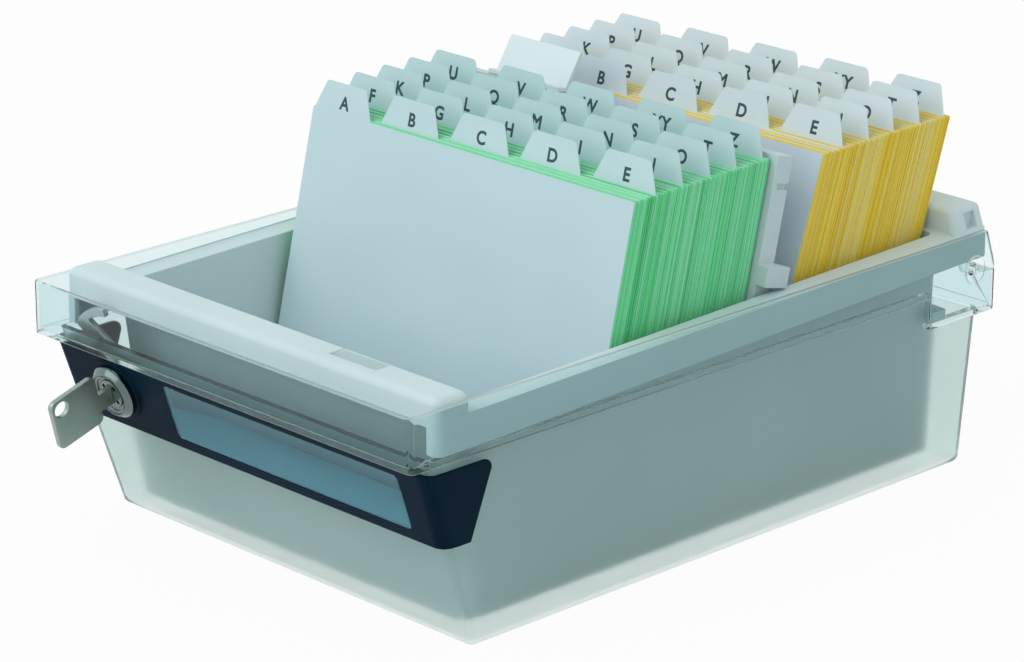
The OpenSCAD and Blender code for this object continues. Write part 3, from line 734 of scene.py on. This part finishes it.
studio = dict(floorSize=8.0, floorTone=tone(225, 227, 227), floorGlow=0.95, skyTone=(0.9, 0.99, 1.0, 1),
              skyTop=0.9, skyLow=0.62, lampPower=10.0, lampSize=1.6, lampPlace=(-0.4, -1.35, 1.1))
photoCamera = dict(place=(0.9012, -0.889923, 0.49293), turn=(70.818, -0.102, 45.923),
                   lens=143.55, sensor=36.0)


# 1 for the camera, also through plastic and in metal, and 0 for light that falls on the object
def seenDirectly(tree):
    path = addNode(tree, "ShaderNodeLightPath")
    seen = path.outputs["Is Camera Ray"]
    for ray in ("Is Transmission Ray", "Is Glossy Ray"):
        either = addNode(tree, "ShaderNodeMath", operation="MAXIMUM")
        tree.links.new(seen, either.inputs[0])
        tree.links.new(path.outputs[ray], either.inputs[1])
        seen = either.outputs[0]
    unlit = addNode(tree, "ShaderNodeMath", operation="LESS_THAN")
    unlit.inputs[1].default_value = 0.5
    both = addNode(tree, "ShaderNodeMath", operation="MULTIPLY")
    tree.links.new(path.outputs["Diffuse Depth"], unlit.inputs[0])
    tree.links.new(seen, both.inputs[0])
    tree.links.new(unlit.outputs[0], both.inputs[1])
    return both.outputs[0]


def buildFloor():
    deselectAll()
    bpy.ops.mesh.primitive_plane_add(size=studio["floorSize"])
    floor = bpy.context.object
    floor.name = "floor"
    finish, tree, shader = newFinish("floorPaper")
    shader.inputs["Base Color"].default_value = studio["floorTone"]
    shader.inputs["Roughness"].default_value = 0.9
    shader.inputs["Specular IOR Level"].default_value = 0.1
    glow = addNode(tree, "ShaderNodeEmission", Strength=1.0)
    share = addNode(tree, "ShaderNodeMath", operation="MULTIPLY")
    share.inputs[1].default_value = studio["floorGlow"]
    mix = addNode(tree, "ShaderNodeMixShader")
    tree.links.new(seenDirectly(tree), share.inputs[0])
    tree.links.new(share.outputs[0], mix.inputs["Fac"])
    tree.links.new(shader.outputs["BSDF"], mix.inputs[1])
    tree.links.new(glow.outputs["Emission"], mix.inputs[2])
    tree.links.new(mix.outputs["Shader"], tree.nodes["Material Output"].inputs["Surface"])
    floor.data.materials.append(finish)


def buildLight():
    world = bpy.data.worlds.new("studio")
    bpy.context.scene.world = world
    world.use_nodes = True
    tree = world.node_tree
    sky = tree.nodes["Background"]
    place = addNode(tree, "ShaderNodeTexCoord")
    parts = addNode(tree, "ShaderNodeSeparateXYZ")
    climb = addNode(tree, "ShaderNodeMapRange")
    climb.inputs["To Min"].default_value = studio["skyLow"]
    climb.inputs["To Max"].default_value = studio["skyTop"]
    choose = addNode(tree, "ShaderNodeMix", data_type="FLOAT")
    choose.inputs["B"].default_value = 1.0
    tree.links.new(place.outputs["Generated"], parts.inputs["Vector"])
    tree.links.new(parts.outputs["Z"], climb.inputs["Value"])
    tree.links.new(climb.outputs["Result"], choose.inputs["A"])
    seen = seenDirectly(tree)
    tree.links.new(seen, choose.inputs["Factor"])
    tree.links.new(choose.outputs["Result"], sky.inputs["Strength"])
    tint = addNode(tree, "ShaderNodeMix", data_type="RGBA")
    tint.inputs[6].default_value = studio["skyTone"]
    tint.inputs[7].default_value = (1, 1, 1, 1)
    tree.links.new(seen, tint.inputs["Factor"])
    tree.links.new(tint.outputs[2], sky.inputs["Color"])
    deselectAll()
    bpy.ops.object.light_add(type="AREA", location=studio["lampPlace"])
    lamp = bpy.context.object
    lamp.name = "softBox"
    lamp.data.energy = studio["lampPower"]
    lamp.data.size = studio["lampSize"]
    lamp.rotation_euler = (-Vector(studio["lampPlace"])).to_track_quat("-Z", "Y").to_euler()


def buildCamera():
    deselectAll()
    bpy.ops.object.camera_add(location=photoCamera["place"],
                              rotation=[math.radians(angle) for angle in photoCamera["turn"]])
    camera = bpy.context.object
    camera.data.lens = photoCamera["lens"]
    camera.data.sensor_width = photoCamera["sensor"]
    bpy.context.scene.camera = camera


buildFloor()
buildLight()
buildCamera()
bpy.context.scene.view_settings.view_transform = "Standard"
print("studio set")
